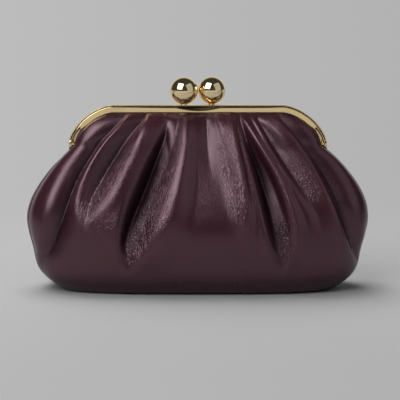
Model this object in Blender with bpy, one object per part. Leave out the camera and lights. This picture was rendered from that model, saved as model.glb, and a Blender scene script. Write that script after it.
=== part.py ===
"""Pleated evening clutch with a kiss-lock frame.

Metres, +Z up. The origin is the middle of the base, on the surface that the clutch stands on. +X runs
along the frame to the right, -Y is the front. Both half frames turn about one line along X through the
two hinge rivets.
"""

import math

import bmesh
import bpy
from mathutils import Vector

RIGHT_WAY = Vector((1.0, 0.0, 0.0))
DEEP_WAY = Vector((0.0, 1.0, 0.0))
UP_WAY = Vector((0.0, 0.0, 1.0))
FRONT = -1
BACK = 1

# Gaps between pieces that touch on the real clutch
GAP = 0.0003
SEAM_GAP = 0.0004
SOFT_GAP = 0.0006
TURNING_GAP = 0.0007
LINING_SWING_GAP = 0.0010
# How far a cut runs past the wall that it goes through
CUT_OVERRUN = 0.0004

# Leather bag below the hinges
BAG_HALF_WIDTH = 0.1205
BAG_HALF_DEPTH = 0.0410
RIM_HEIGHT = 0.0970
SOLE_CLEARANCE = 0.0003
LEATHER = 0.0012
INTERLINING = 0.0012
LINING = 0.0005
PLEAT_DEPTH = 0.0080
YOKE_PLEAT_DEPTH = 0.0013

# Base
BASE_LEATHER = 0.0016
BASE_BOARD = 0.0018
BOARD_MARGIN = 0.0050
BASE_EDGE_GAP = 0.0007

# Half frames
HINGE_ABOVE_RIM = 0.0046
HINGE_HEIGHT = RIM_HEIGHT + HINGE_ABOVE_RIM
FRAME_RISE = 0.0275
FRAME_TOP_HEIGHT = HINGE_HEIGHT + FRAME_RISE
FRAME_HALF_WIDTH = 0.0903
STRAIGHT_HALF_LENGTH = 0.0590
CHANNEL_DEPTH = 0.0051
CHANNEL_FACE = 0.00465
CHANNEL_WALL = 0.0006
CHANNEL_WEB = 0.0009
RIM_BEAD = 0.0009
RIM_BEAD_PROUD = 0.0002
GROOVE_WIDTH = 0.0004
GROOVE_DEPTH = 0.0003
EDGE_ROUND = 0.0004
MEETING_GAP = 0.0003
ARM_END_ABOVE_HINGE = 0.0054
BITE_TOP = 0.0022
CORD_RADIUS = 0.0005

# Hinge lugs and rivets
LUG_RADIUS = 0.0034
LUG_THICKNESS = 0.0020
LUG_SPACING = 0.0004
FRONT_LUG_INSET = 0.0019
LUG_REACH = 0.0010
LUG_ROUND_END_ANGLE = math.radians(270)
RIVET_RADIUS = 0.0010
RIVET_HEAD_RADIUS = 0.0020
RIVET_HEAD_THICKNESS = 0.0009

# Kiss lock
BALL_RADIUS = 0.00975
BALL_HALF_SPACING = 0.0097
POST_RADIUS = 0.0011
POST_HEAD_RADIUS = 0.0015
POST_HEAD_THICKNESS = 0.0007
POST_IN_BALL = 0.0040

# Leather and lining between the frame and the rim of the bag
YOKE_END_ABOVE_HINGE = 0.0098
YOKE_EXIT = 0.0004
MARGIN_ANGLE = math.radians(107)
LINING_MARGIN_ANGLE = math.radians(98)
ROLL_ANGLE = math.radians(62)
YOKE_BOW_SHARE = 0.10

# Outline of the bag from the base seam to the rim: height as shares of the rim height, half width and
# half depth as shares of the bag's own, and the exponent of the rounded plan
HEIGHT_SHARES = (0.0, 0.028, 0.10, 0.18, 0.30, 0.42, 0.53, 0.64, 0.75, 0.86, 0.94, 1.0)
WIDTH_SHARES = (0.80, 0.853, 0.904, 0.934, 0.957, 0.986, 1.0, 0.985, 0.944, 0.878, 0.815, 0.757)
DEPTH_SHARES = (0.66, 0.80, 0.905, 0.955, 0.995, 1.0, 0.965, 0.89, 0.79, 0.68, 0.575, 0.49)
PLAN_POWERS = (3.2, 3.1, 3.0, 2.9, 2.7, 2.6, 2.5, 2.5, 2.5, 2.5, 2.55, 2.6)
# Half depth at which the gusset seam runs, as shares of the half depth there
SEAM_SHARES = (0.36, 0.33, 0.30, 0.28, 0.26, 0.25, 0.24, 0.23, 0.22, 0.21, 0.20, 0.20)

# Crests and grooves of the gathered leather, from left to right on the front; the back is the front
# turned round. Each gives its place, as shares of the half width, and its rise from the bag's outline,
# as shares of the pleat depth, at heights evenly spaced from the base seam to the rim
FOLD_SHARES = (
    ((-1.0, -1.0, -1.0, -1.0, -1.0, -1.0), (0.0, 0.0, 0.0, 0.0, 0.0, 0.0)),
    ((-0.99, -0.985, -0.945, -0.905, -0.895, -0.91), (0.0, 0.0, 0.05, 0.10, 0.12, 0.12)),
    ((-0.96, -0.94, -0.86, -0.79, -0.78, -0.79), (0.0, -0.14, -0.50, -0.75, -0.80, -0.60)),
    ((-0.90, -0.822, -0.698, -0.669, -0.70, -0.732), (0.0, 0.0, 0.04, 0.18, 0.31, 0.27)),
    ((-0.85, -0.776, -0.664, -0.629, -0.591, -0.581), (0.0, 0.0, 0.02, -0.15, -0.58, -0.59)),
    ((-0.80, -0.717, -0.618, -0.572, -0.486, -0.488), (0.0, 0.0, 0.04, 0.17, 0.31, 0.32)),
    ((-0.526, -0.50, -0.511, -0.48, -0.395, -0.372), (0.0, 0.02, 0.08, 0.10, 0.10, 0.11)),
    ((-0.489, -0.426, -0.422, -0.37, -0.311, -0.286), (0.0, -0.07, -0.69, -1.0, -1.0, -0.80)),
    ((-0.40, -0.35, -0.26, -0.194, -0.145, -0.126), (0.0, 0.04, 0.25, 0.38, 0.43, 0.37)),
    ((-0.129, -0.093, -0.048, -0.02, -0.007, -0.004), (0.0, 0.0, 0.03, 0.08, 0.11, 0.14)),
    ((0.195, 0.163, 0.144, 0.13, 0.117, 0.105), (0.0, 0.0, 0.02, 0.03, -0.02, -0.16)),
    ((0.361, 0.303, 0.289, 0.279, 0.284, 0.304), (0.0, 0.0, 0.06, 0.21, 0.33, 0.33)),
    ((0.50, 0.42, 0.375, 0.335, 0.33, 0.35), (0.0, 0.03, 0.14, 0.22, 0.31, 0.30)),
    ((0.60, 0.515, 0.463, 0.425, 0.415, 0.425), (0.0, -0.03, -0.42, -0.78, -0.90, -0.71)),
    ((0.665, 0.60, 0.574, 0.544, 0.517, 0.495), (0.0, 0.01, 0.16, 0.26, 0.35, 0.33)),
    ((0.75, 0.723, 0.693, 0.63, 0.584, 0.583), (0.0, 0.0, 0.02, 0.13, 0.25, 0.29)),
    ((0.82, 0.794, 0.737, 0.674, 0.639, 0.638), (0.0, 0.0, 0.0, -0.05, -0.23, -0.31)),
    ((0.90, 0.87, 0.815, 0.745, 0.725, 0.745), (0.0, 0.05, 0.14, 0.21, 0.26, 0.24)),
    ((0.96, 0.95, 0.905, 0.84, 0.825, 0.85), (0.0, -0.08, -0.38, -0.62, -0.72, -0.54)),
    ((0.99, 0.985, 0.98, 0.95, 0.94, 0.95), (0.0, 0.0, 0.05, 0.08, 0.10, 0.10)),
    ((1.0, 1.0, 1.0, 1.0, 1.0, 1.0), (0.0, 0.0, 0.0, 0.0, 0.0, 0.0)),
)

# Belt below the rim, free of grooves so that the yokes swing past it, as a share of the rim height
RIM_BELT_SHARE = 0.10
# Where the interlining and the lining bag end, as shares of the way from the base seam to the rim
INTERLINING_LOW_SHARE = 0.16
INTERLINING_HIGH_SHARE = 0.90
INTERLINING_REACH_SHARE = 0.96
LINING_LOW_SHARE = 0.12
LINING_HIGH_SHARE = 0.90

# Shape of the frame's corner: exponent of the curve from the straight top to the hinge
CORNER_POWER = 1.65

# Facets
PANEL_COLUMNS = 60
PANEL_ROWS = 16
INTERLINING_COLUMNS = 18
INTERLINING_ROWS = 8
GUSSET_COLUMNS = 10
YOKE_COLUMNS = 32
YOKE_ROWS = 8
YOKE_LINING_SHORTER_COLUMNS = 2
LINING_SEGMENTS = 32
LINING_ROWS = 7
CORNER_STEPS = 10
STRAIGHT_STEPS = 1
ROUND_SEGMENTS = 16
CORD_SEGMENTS = 6
BALL_SEGMENTS = 24
BALL_RINGS = 16

SMOOTH_ANGLE = math.radians(40)
PROBE = 0.004


def clear_scene():
    for old in list(bpy.data.objects):
        bpy.data.objects.remove(old, do_unlink=True)


def make_material(name, colour, roughness, metallic):
    material = bpy.data.materials.new(name)
    material.use_nodes = True
    shader = material.node_tree.nodes["Principled BSDF"]
    shader.inputs["Base Color"].default_value = (*colour, 1.0)
    shader.inputs["Roughness"].default_value = roughness
    shader.inputs["Metallic"].default_value = metallic
    return material


def make_object(name, bm, material, pivot=(0.0, 0.0, 0.0)):
    """The finished mesh as a named object whose origin is pivot."""
    pivot = Vector(pivot)
    bmesh.ops.recalc_face_normals(bm, faces=bm.faces)
    bmesh.ops.translate(bm, verts=bm.verts, vec=-pivot)
    mesh = bpy.data.meshes.new(name)
    bm.to_mesh(mesh)
    bm.free()
    mesh.shade_smooth()
    mesh.set_sharp_from_angle(angle=SMOOTH_ANGLE)
    mesh.materials.append(material)
    made = bpy.data.objects.new(name, mesh)
    made.location = pivot
    bpy.context.scene.collection.objects.link(made)
    return made


def loft(rings):
    """A closed body through rings of equally many points, its two ends capped."""
    bm = bmesh.new()
    place = bm.verts.layers.int.new("place")
    first = [bm.verts.new(point) for point in rings[0]]
    for index, vert in enumerate(first):
        vert[place] = index
    face = bm.faces.new(first)
    for number, ring in enumerate(rings[1:]):
        grown = bmesh.ops.extrude_face_region(bm, geom=[face, *face.edges], use_keep_orig=number == 0)
        face = next(part for part in grown["geom"] if isinstance(part, bmesh.types.BMFace))
        for vert in face.verts:
            vert.co = ring[vert[place]]
    return bm


def sheet(surface, columns, rows, outer_inset, thickness):
    """A closed sheet. surface(u, v, inset) is a point of its face, drawn in by inset; u and v run 0 to 1."""
    bm = bmesh.new()
    bmesh.ops.create_grid(bm, x_segments=columns, y_segments=rows, size=0.5)
    grown = bmesh.ops.extrude_face_region(bm, geom=bm.faces[:], use_keep_orig=True)
    inner = {part for part in grown["geom"] if isinstance(part, bmesh.types.BMVert)}
    for vert in bm.verts:
        inset = outer_inset + thickness if vert in inner else outer_inset
        vert.co = surface(vert.co.x + 0.5, vert.co.y + 0.5, inset)
    return bm


def blend(low, high, share):
    return low + (high - low) * share


def ease(share):
    share = min(max(share, 0.0), 1.0)
    return share * share * (3.0 - 2.0 * share)


def along(table, share):
    """A smooth value through the table's evenly spaced entries."""
    place = min(max(share, 0.0), 1.0) * (len(table) - 1)
    index = min(int(place), len(table) - 2)
    rest = place - index
    before = table[max(index - 1, 0)]
    start = table[index]
    stop = table[index + 1]
    after = table[min(index + 2, len(table) - 1)]
    slope_in = (stop - before) / 2.0
    slope_out = (after - start) / 2.0
    cubic = 2.0 * (start - stop) + slope_in + slope_out
    square = -3.0 * (start - stop) - 2.0 * slope_in - slope_out
    return ((cubic * rest + square) * rest + slope_in) * rest + start


# The bag's outer surface: turn is the angle round the plan from the front centre, rise runs from the
# base seam to the rim


def plan_point(half_width, half_depth, power, turn):
    side = math.sin(turn)
    front = math.cos(turn)
    x = math.copysign(abs(side) ** (2.0 / power), side) * half_width
    y = -math.copysign(abs(front) ** (2.0 / power), front) * half_depth
    return x, y


def bag_point(turn, rise):
    half_width = BAG_HALF_WIDTH * along(WIDTH_SHARES, rise)
    half_depth = BAG_HALF_DEPTH * along(DEPTH_SHARES, rise)
    x, y = plan_point(half_width, half_depth, along(PLAN_POWERS, rise), turn)
    return Vector((x, y, SOLE_CLEARANCE + (RIM_HEIGHT - SOLE_CLEARANCE) * along(HEIGHT_SHARES, rise)))


def bag_normal(turn, rise):
    round_it = bag_point(turn + PROBE, rise) - bag_point(turn - PROBE, rise)
    up_it = bag_point(turn, min(rise + PROBE, 1.0)) - bag_point(turn, max(rise - PROBE, 0.0))
    return round_it.cross(up_it).normalized()


def fold_share(across, height_share, side):
    """How far the gathers raise the surface at one place, as a share of the pleat depth.

    across is the place as a share of the half width there, height_share its height.
    """
    across = -side * across
    left = -1.0
    left_rise = 0.0
    for places, rises in FOLD_SHARES[1:]:
        right = along(places, height_share)
        right_rise = along(rises, height_share)
        if across <= right:
            return blend(left_rise, right_rise, ease((across - left) / (right - left)))
        left = right
        left_rise = right_rise
    return 0.0


def raised_at(turn, rise):
    point = bag_point(turn, rise)
    half_width = BAG_HALF_WIDTH * along(WIDTH_SHARES, rise)
    side = FRONT if point.y < 0.0 else BACK
    height_share = along(HEIGHT_SHARES, rise)
    raised = fold_share(point.x / half_width, height_share, side)
    if raised < 0.0:
        raised *= ease((1.0 - height_share) / RIM_BELT_SHARE)
    return PLEAT_DEPTH * max(raised, -1.0)


def leather_point(turn, rise, inset):
    return bag_point(turn, rise) + bag_normal(turn, rise) * (raised_at(turn, rise) - inset)


def smooth_point(turn, rise, inset):
    return bag_point(turn, rise) - bag_normal(turn, rise) * inset


def seam_turn(rise):
    """The angle of the gusset's front seam, from the front centre."""
    return math.acos(along(SEAM_SHARES, rise) ** (along(PLAN_POWERS, rise) / 2.0))


def seam_slack(rise):
    """The angle that half a seam gap takes up at the seam."""
    turn = seam_turn(rise)
    pace = (bag_point(turn + PROBE, rise) - bag_point(turn - PROBE, rise)).length / (2.0 * PROBE)
    return SEAM_GAP / 2.0 / pace


def panel_turn(side, across, reach, rise):
    """The angle of a place across a panel, evenly spread over its width; across runs from -1 to 1."""
    half_power = along(PLAN_POWERS, rise) / 2.0
    widest = math.sin(reach) ** (1.0 / half_power)
    sideways = math.sin(across * math.asin(widest))
    turn = math.copysign(math.asin(abs(sideways) ** half_power), sideways)
    return turn if side == FRONT else turn + math.pi


def panel_surface(side):
    """The face of the front or back panel."""

    def surface(u, v, inset):
        reach = seam_turn(v) - seam_slack(v)
        return leather_point(panel_turn(side, 2.0 * u - 1.0, reach, v), v, inset)

    return surface


def interlining_surface(side):
    """The face of the interlining behind a panel, short of its seams, base and rim."""

    def surface(u, v, inset):
        rise = blend(INTERLINING_LOW_SHARE, INTERLINING_HIGH_SHARE, v)
        reach = seam_turn(rise) * INTERLINING_REACH_SHARE
        return smooth_point(panel_turn(side, 2.0 * u - 1.0, reach, rise), rise, inset)

    return surface


def gusset_surface(hand):
    """The face of the gusset on the right, hand 1, or the left, hand -1."""

    def surface(u, v, inset):
        reach = math.pi / 2.0 - seam_turn(v) - seam_slack(v)
        return leather_point(hand * math.pi / 2.0 + (2.0 * u - 1.0) * reach, v, inset)

    return surface


# The frame's arch in the plane y = 0: share runs from -1 at the left hinge to 1 at the right


def corner_angle_at(height_above_hinge):
    return math.asin((height_above_hinge / FRAME_RISE) ** (CORNER_POWER / 2.0))


def arch_point(share, end_angle):
    size = abs(share)
    if size <= 0.5:
        return Vector((share / 0.5 * STRAIGHT_HALF_LENGTH, 0.0, FRAME_TOP_HEIGHT))
    angle = blend(math.pi / 2.0, end_angle, (size - 0.5) / 0.5)
    corner_width = FRAME_HALF_WIDTH - STRAIGHT_HALF_LENGTH
    x = STRAIGHT_HALF_LENGTH + corner_width * max(math.cos(angle), 0.0) ** (2.0 / CORNER_POWER)
    z = HINGE_HEIGHT + FRAME_RISE * math.sin(angle) ** (2.0 / CORNER_POWER)
    return Vector((math.copysign(x, share), 0.0, z))


def arch_outward(share, end_angle):
    before = arch_point(max(share - PROBE, -1.0), end_angle)
    after = arch_point(min(share + PROBE, 1.0), end_angle)
    run = (after - before).normalized()
    return Vector((-run.z, 0.0, run.x))


def arch_shares():
    """Stations along the arch, close together in the corners."""
    corner = [0.5 + 0.5 * step / CORNER_STEPS for step in range(CORNER_STEPS + 1)]
    straight = [0.5 * step / STRAIGHT_STEPS for step in range(1 - STRAIGHT_STEPS, STRAIGHT_STEPS)]
    return [-share for share in reversed(corner)] + straight + corner


def arch_ring(share, end_angle, outline, side):
    """One station of what runs along the arch. outline holds (inwards, away from the meeting plane)."""
    base = arch_point(share, end_angle)
    outward = arch_outward(share, end_angle)
    return [base - outward * inwards + Vector((0.0, side * away, 0.0)) for inwards, away in outline]


def channel_outline():
    """Section of a half frame: a channel open to the bag, with a beaded rim, a groove and a band."""
    near = MEETING_GAP / 2.0
    far = near + CHANNEL_DEPTH
    groove_far = far - GROOVE_DEPTH
    groove_end = RIM_BEAD + GROOVE_WIDTH
    return [
        (CHANNEL_FACE, near),
        (0.0, near),
        (0.0, far - EDGE_ROUND),
        (EDGE_ROUND / 3.0, far + RIM_BEAD_PROUD / 2.0),
        (RIM_BEAD / 2.0, far + RIM_BEAD_PROUD),
        (RIM_BEAD, far),
        (RIM_BEAD, groove_far),
        (groove_end, groove_far),
        (groove_end, far),
        (CHANNEL_FACE - EDGE_ROUND, far),
        (CHANNEL_FACE, far - EDGE_ROUND),
        (CHANNEL_FACE, far - CHANNEL_WALL),
        (CHANNEL_WEB, far - CHANNEL_WALL),
        (CHANNEL_WEB, near + CHANNEL_WALL),
        (CHANNEL_FACE, near + CHANNEL_WALL),
    ]


def leather_away():
    """Distance of the crimped leather's outer face from the meeting plane."""
    return MEETING_GAP / 2.0 + CHANNEL_DEPTH - CHANNEL_WALL - GAP


def cord_away():
    return leather_away() - LEATHER - GAP - CORD_RADIUS


def lining_away():
    return cord_away() - CORD_RADIUS - GAP


def circle(centre, across, along_it, radius, segments):
    """Points of a circle in the plane of two unit directions."""
    turns = [2.0 * math.pi * step / segments for step in range(segments)]
    return [centre + (across * math.cos(turn) + along_it * math.sin(turn)) * radius for turn in turns]


def pin_along_x(steps):
    """A turned pin on the hinge line. steps holds (x, radius)."""
    rings = []
    for x, radius in steps:
        centre = Vector((x, 0.0, HINGE_HEIGHT))
        rings.append(circle(centre, DEEP_WAY, UP_WAY, radius, ROUND_SEGMENTS))
    return loft(rings)


def pin_upright(x, y, steps):
    """A turned pin that stands up. steps holds (z, radius)."""
    rings = [circle(Vector((x, y, z)), RIGHT_WAY, DEEP_WAY, radius, ROUND_SEGMENTS) for z, radius in steps]
    return loft(rings)


def hide_cutter(cutter):
    cutter.hide_render = True
    cutter.display_type = "WIRE"


def join_or_cut(target, tool, operation):
    hide_cutter(tool)
    modifier = target.modifiers.new(tool.name, "BOOLEAN")
    modifier.object = tool
    modifier.operation = operation
    modifier.solver = "EXACT"


# Half frames


def lug_inner_x(side):
    """The lug's face nearest the middle: the front half's lugs lie outside the back half's."""
    outer_x = FRAME_HALF_WIDTH - FRONT_LUG_INSET
    if side == BACK:
        outer_x -= LUG_THICKNESS + LUG_SPACING
    return outer_x - LUG_THICKNESS


def lug_outline(side):
    """The lug seen along X: round at the rivet, with a neck up into the arm's channel."""
    top = HINGE_HEIGHT + ARM_END_ABOVE_HINGE + LUG_REACH
    points = [(side * MEETING_GAP, top)]
    start = -math.asin(MEETING_GAP / LUG_RADIUS)
    for step in range(ROUND_SEGMENTS + 1):
        turn = blend(start, LUG_ROUND_END_ANGLE, step / ROUND_SEGMENTS)
        points.append((-side * LUG_RADIUS * math.sin(turn), HINGE_HEIGHT + LUG_RADIUS * math.cos(turn)))
    points.append((side * LUG_RADIUS, top))
    return points


def make_lug(name, side, hand, material):
    inner_x = lug_inner_x(side)
    rings = []
    for x in (inner_x, inner_x + LUG_THICKNESS):
        rings.append([Vector((hand * x, y, z)) for y, z in lug_outline(side)])
    return make_object(name, loft(rings), material)


def make_channel(name, side, material):
    end_angle = corner_angle_at(ARM_END_ABOVE_HINGE)
    outline = channel_outline()
    rings = [arch_ring(share, end_angle, outline, side) for share in arch_shares()]
    channel = make_object(name, loft(rings), material, (0.0, 0.0, HINGE_HEIGHT))
    for hand, word in ((-1, "left"), (1, "right")):
        lug = make_lug(f"{name}_{word}_lug", side, hand, material)
        join_or_cut(channel, lug, "UNION")
    bore_radius = RIVET_RADIUS + GAP
    reach = FRAME_HALF_WIDTH + LUG_THICKNESS
    bore_pin = pin_along_x([(-reach, bore_radius), (reach, bore_radius)])
    bore = make_object(f"{name}_rivet_bore", bore_pin, material)
    join_or_cut(channel, bore, "DIFFERENCE")
    post_bore_radius = POST_RADIUS + GAP
    x, y = ball_place(side)
    steps = [(FRAME_TOP_HEIGHT - CHANNEL_WEB - CUT_OVERRUN, post_bore_radius)]
    steps.append((FRAME_TOP_HEIGHT + POST_IN_BALL, post_bore_radius))
    post_bore = make_object(f"{name}_post_bore", pin_upright(x, y, steps), material)
    join_or_cut(channel, post_bore, "DIFFERENCE")
    return channel


def make_rivet(name, hand, material):
    outer = lug_inner_x(FRONT) + LUG_THICKNESS + GAP
    inner = lug_inner_x(BACK) - GAP
    steps = [
        (inner - RIVET_HEAD_THICKNESS, RIVET_HEAD_RADIUS),
        (inner, RIVET_HEAD_RADIUS),
        (inner, RIVET_RADIUS),
        (outer, RIVET_RADIUS),
        (outer, RIVET_HEAD_RADIUS),
        (outer + RIVET_HEAD_THICKNESS, RIVET_HEAD_RADIUS),
    ]
    rivet = pin_along_x([(hand * x, radius) for x, radius in steps])
    return make_object(name, rivet, material, (0.0, 0.0, HINGE_HEIGHT))


# Kiss lock


def ball_place(side):
    """Where the ball stands: the front half's ball on the left, the back half's on the right."""
    return side * BALL_HALF_SPACING, side * (MEETING_GAP + CHANNEL_DEPTH) / 2.0


def make_ball(name, side, material):
    x, y = ball_place(side)
    height = FRAME_TOP_HEIGHT + GAP + BALL_RADIUS
    bm = bmesh.new()
    bmesh.ops.create_uvsphere(bm, u_segments=BALL_SEGMENTS, v_segments=BALL_RINGS, radius=BALL_RADIUS)
    bmesh.ops.translate(bm, verts=bm.verts, vec=(x, y, height))
    ball = make_object(name, bm, material, (0.0, 0.0, HINGE_HEIGHT))
    socket_top = FRAME_TOP_HEIGHT + POST_IN_BALL + GAP
    steps = [(FRAME_TOP_HEIGHT - CHANNEL_WEB, POST_RADIUS + GAP), (socket_top, POST_RADIUS + GAP)]
    socket = make_object(f"{name}_socket", pin_upright(x, y, steps), material)
    join_or_cut(ball, socket, "DIFFERENCE")
    return ball


def make_post(name, side, material):
    x, y = ball_place(side)
    head_top = FRAME_TOP_HEIGHT - CHANNEL_WEB - GAP
    steps = [
        (head_top - POST_HEAD_THICKNESS, POST_HEAD_RADIUS),
        (head_top, POST_HEAD_RADIUS),
        (head_top, POST_RADIUS),
        (FRAME_TOP_HEIGHT + POST_IN_BALL, POST_RADIUS),
    ]
    return make_object(name, pin_upright(x, y, steps), material, (0.0, 0.0, HINGE_HEIGHT))


# What the channels hold


def make_cord(name, side, material):
    end_angle = corner_angle_at(YOKE_END_ABOVE_HINGE)
    inwards = BITE_TOP + CORD_RADIUS
    turns = [2.0 * math.pi * step / CORD_SEGMENTS for step in range(CORD_SEGMENTS)]
    outline = [
        (inwards + CORD_RADIUS * math.cos(turn), cord_away() + CORD_RADIUS * math.sin(turn)) for turn in turns
    ]
    rings = [arch_ring(share, end_angle, outline, side) for share in arch_shares()]
    return make_object(name, loft(rings), material, (0.0, 0.0, HINGE_HEIGHT))


def rim_reach(x):
    """How far from the hinge line a piece may lie at this x and still swing past the bag's rim."""
    clear = LEATHER + TURNING_GAP
    half_width = BAG_HALF_WIDTH * WIDTH_SHARES[-1]
    half_depth = BAG_HALF_DEPTH * DEPTH_SHARES[-1]
    power = PLAN_POWERS[-1]
    share = min(abs(x) / (half_width - clear), 1.0)
    away = (half_depth - clear) * (1.0 - share**power) ** (1.0 / power)
    return math.hypot(away, HINGE_HEIGHT - RIM_HEIGHT)


def swung_place(start, radius, last_angle, down):
    """A yoke's section below the channel, as (away from the meeting plane, above the hinge line)."""
    if down >= 0.5:
        angle = blend(ROLL_ANGLE, last_angle, (down - 0.5) / 0.5)
        return Vector((math.sin(angle), math.cos(angle))) * radius
    chord = Vector((math.sin(ROLL_ANGLE), math.cos(ROLL_ANGLE))) * radius - start
    bow = Vector((-chord.y, chord.x)) * YOKE_BOW_SHARE
    return start + chord * (down / 0.5) + bow * math.sin(math.pi * down / 0.5)


def yoke_surface(side, bite_away, nearer, last_angle, pleat_depth):
    """Leather or lining that hangs from a half frame into the bag's rim.

    bite_away is its distance from the meeting plane in the channel, nearer how much closer to the
    hinge line than the leather it swings, last_angle where its margin ends, from straight up.
    """
    frame_half_width = FRAME_HALF_WIDTH - CHANNEL_FACE
    end_angle = corner_angle_at(YOKE_END_ABOVE_HINGE)
    exit_inwards = CHANNEL_FACE + YOKE_EXIT
    bite_rows = 1.0 / YOKE_ROWS

    def surface(u, v, inset):
        share = 2.0 * u - 1.0
        base = arch_point(share, end_angle)
        outward = arch_outward(share, end_angle)
        if v < 1.5 * bite_rows:
            inwards = blend(BITE_TOP, exit_inwards, v / bite_rows)
            return base - outward * inwards + DEEP_WAY * side * (bite_away - inset)
        leaves = base - outward * exit_inwards
        radius = rim_reach(leaves.x) - nearer
        start = Vector((bite_away, leaves.z - HINGE_HEIGHT))
        down = (v - bite_rows) / (1.0 - bite_rows)
        before = swung_place(start, radius, last_angle, down - PROBE)
        after = swung_place(start, radius, last_angle, down + PROBE)
        run = (after - before).normalized()
        folded = math.sin(math.pi * min(down / 0.5, 1.0))
        folded *= pleat_depth * max(0.0, -fold_share(leaves.x / frame_half_width, 1.0, side))
        place = swung_place(start, radius, last_angle, down) - Vector((-run.y, run.x)) * (inset + folded)
        return Vector((leaves.x, side * place.x, HINGE_HEIGHT + place.y))

    return surface


def make_yoke(name, side, material):
    surface = yoke_surface(side, leather_away(), 0.0, MARGIN_ANGLE, YOKE_PLEAT_DEPTH)
    bm = sheet(surface, YOKE_COLUMNS, YOKE_ROWS, 0.0, LEATHER)
    return make_object(name, bm, material, (0.0, 0.0, HINGE_HEIGHT))


def make_yoke_lining(name, side, material):
    nearer = LEATHER + LINING_SWING_GAP + YOKE_PLEAT_DEPTH
    whole = yoke_surface(side, lining_away(), nearer, LINING_MARGIN_ANGLE, 0.0)
    left_out = YOKE_LINING_SHORTER_COLUMNS
    columns = YOKE_COLUMNS - 2 * left_out

    def surface(u, v, inset):
        return whole((left_out + u * columns) / YOKE_COLUMNS, v, inset)

    bm = sheet(surface, columns, YOKE_ROWS, 0.0, LINING)
    return make_object(name, bm, material, (0.0, 0.0, HINGE_HEIGHT))


# The bag


def make_panel(name, side, material):
    return make_object(name, sheet(panel_surface(side), PANEL_COLUMNS, PANEL_ROWS, 0.0, LEATHER), material)


def make_interlining(name, side, material):
    behind = LEATHER + PLEAT_DEPTH + SOFT_GAP
    bm = sheet(interlining_surface(side), INTERLINING_COLUMNS, INTERLINING_ROWS, behind, INTERLINING)
    return make_object(name, bm, material)


def make_gusset(name, hand, material):
    return make_object(name, sheet(gusset_surface(hand), GUSSET_COLUMNS, PANEL_ROWS, 0.0, LEATHER), material)


def base_ring(margin, height):
    """The base's outline drawn in by margin."""
    half_width = BAG_HALF_WIDTH * WIDTH_SHARES[0] - margin
    half_depth = BAG_HALF_DEPTH * DEPTH_SHARES[0] - margin
    ring = []
    for step in range(LINING_SEGMENTS):
        x, y = plan_point(half_width, half_depth, PLAN_POWERS[0], 2.0 * math.pi * step / LINING_SEGMENTS)
        ring.append(Vector((x, y, height)))
    return ring


def make_base(name, material):
    rings = [
        base_ring(BASE_EDGE_GAP + EDGE_ROUND, 0.0),
        base_ring(BASE_EDGE_GAP, EDGE_ROUND),
        base_ring(BASE_EDGE_GAP, BASE_LEATHER),
    ]
    return make_object(name, loft(rings), material)


def make_board(name, material):
    low = BASE_LEATHER + GAP
    rings = [base_ring(BOARD_MARGIN, low), base_ring(BOARD_MARGIN, low + BASE_BOARD)]
    return make_object(name, loft(rings), material)


def lining_ring(rise, inset):
    ring = []
    for step in range(LINING_SEGMENTS):
        turn = 2.0 * math.pi * step / LINING_SEGMENTS
        ring.append(smooth_point(turn, rise, inset))
    return ring


def make_lining(name, material):
    """The loose lining bag, open at the top."""
    outside = LEATHER + PLEAT_DEPTH + SOFT_GAP + INTERLINING + SOFT_GAP
    floor = BASE_LEATHER + GAP + BASE_BOARD + GAP
    rises = [blend(LINING_LOW_SHARE, LINING_HIGH_SHARE, row / LINING_ROWS) for row in range(LINING_ROWS + 1)]
    rings = [base_ring(BOARD_MARGIN, floor)]
    rings += [lining_ring(rise, outside) for rise in rises]
    rings += [lining_ring(rise, outside + LINING) for rise in reversed(rises)]
    rings.append(base_ring(BOARD_MARGIN + LINING, floor + LINING))
    return make_object(name, loft(rings), material)


def build():
    clear_scene()
    leather = make_material("wine_leather", (0.045, 0.016, 0.023), 0.34, 0.0)
    gold = make_material("polished_gold", (0.83, 0.60, 0.27), 0.08, 1.0)
    cloth = make_material("lining_cloth", (0.11, 0.05, 0.06), 0.60, 0.0)
    fleece = make_material("interlining_fleece", (0.62, 0.60, 0.56), 0.90, 0.0)
    board = make_material("base_board", (0.42, 0.34, 0.24), 0.85, 0.0)
    paper = make_material("paper_cord", (0.66, 0.56, 0.40), 0.85, 0.0)

    make_panel("front_panel", FRONT, leather)
    make_panel("back_panel", BACK, leather)
    make_gusset("left_gusset", -1, leather)
    make_gusset("right_gusset", 1, leather)
    make_base("base_panel", leather)
    make_board("base_board", board)
    make_interlining("front_interlining", FRONT, fleece)
    make_interlining("back_interlining", BACK, fleece)
    make_lining("lining_bag", cloth)
    make_rivet("left_hinge_rivet", -1, gold)
    make_rivet("right_hinge_rivet", 1, gold)
    for side, word in ((FRONT, "front"), (BACK, "back")):
        make_channel(f"{word}_half_frame", side, gold)
        make_ball(f"{word}_ball", side, gold)
        make_post(f"{word}_ball_post", side, gold)
        make_cord(f"{word}_paper_cord", side, paper)
        make_yoke(f"{word}_gathered_yoke", side, leather)
        make_yoke_lining(f"{word}_yoke_lining", side, cloth)


build()
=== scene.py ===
"""Evening clutch of pleated wine-red leather with a gold kiss-lock frame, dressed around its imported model.

Metres, +Z up, the front at -Y. Each section makes one piece of the clutch, or one group of like pieces.
"""

import math

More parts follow.
